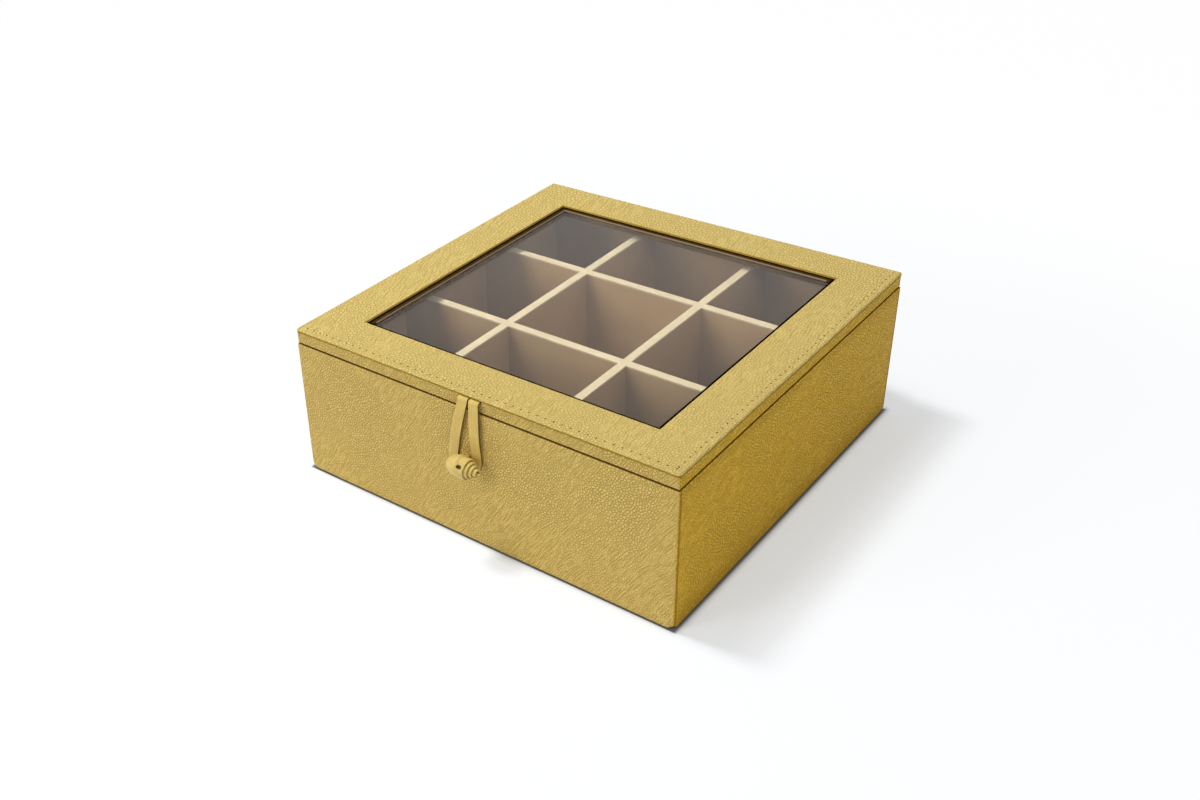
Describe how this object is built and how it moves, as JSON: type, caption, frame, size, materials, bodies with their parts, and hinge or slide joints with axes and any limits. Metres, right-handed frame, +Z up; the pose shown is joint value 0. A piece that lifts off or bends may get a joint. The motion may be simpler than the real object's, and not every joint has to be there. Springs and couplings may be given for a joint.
{
  "type": "tea bag organizer box",
  "caption": "Square leather-covered box with divided, suede-lined compartments, a hinged lid with a glass window, and a loop-and-toggle closure.",
  "frame": {"origin": "centre of the face the box stands on", "axes": "+Z up; the front, with the loop and toggle, faces -Y; +X is to the right seen from the front"},
  "size_m": [0.24, 0.2605, 0.091],
  "materials": {
    "leather": "pebbled, satin",
    "strap": "smooth, satin",
    "suede": "napped, matt",
    "cream": "smooth, satin",
    "board": "raw",
    "wood": "stained, satin",
    "glass": "clear",
    "brass": "satin"
  },
  "bodies": {
    "box": {"board_front": "board", "board_back": "board", "board_left": "board", "board_right": "board", "board_bottom": "board", "panel_front": "leather", "panel_back": "leather", "panel_left": "leather", "panel_right": "leather", "base_cover": "suede", "lining_front": "suede", "lining_back": "suede", "lining_left": "suede", "lining_right": "suede", "lining_floor": "suede", "divider_front": "board", "divider_rear": "board", "divider_left": "board", "divider_right": "board", "suede_front": "suede", "suede_rear": "suede", "suede_left": "suede", "suede_right": "suede", "trim_front": "cream", "trim_rear": "cream", "trim_left": "cream", "trim_right": "cream", "hinge_leaves_body": "brass", "hinge_pins": "brass", "hinge_screws_body": "brass", "toggle_shank": "strap"},
    "lid": {"rail_front": "wood", "rail_back": "wood", "rail_left": "wood", "rail_right": "wood", "band_front": "leather", "band_back": "leather", "band_left": "leather", "band_right": "leather", "top_frame": "leather", "glass_pane": "glass", "bead_front": "wood", "bead_back": "wood", "bead_left": "wood", "bead_right": "wood", "lid_lining": "suede", "hinge_leaves_lid": "brass", "hinge_screws_lid": "brass", "loop_tails": "strap"},
    "loop": {"closure_loop": "strap"},
    "toggle": {"toggle_roll": "strap"}
  },
  "joints": [
    {"name": "lid_hinge", "type": "hinge", "parent": "box", "child": "lid", "pos_m": [0, 0.1227, 0.08225], "axis": [-1, 0, 0], "range_deg": [0, 100], "deforming": ["closure_loop"]},
    {"name": "loop_swing", "type": "hinge", "parent": "lid", "child": "loop", "pos_m": [0.0008, -0.1199, 0.08855], "axis": [-1, 0, 0], "range_deg": [0, 70], "deforming": ["closure_loop"]},
    {"name": "toggle_swivel", "type": "hinge", "parent": "box", "child": "toggle", "pos_m": [-0.0023, -0.1281, 0.053], "axis": [0, 1, 0], "range_deg": [-90, 90], "deforming": ["closure_loop"]}
  ]
}
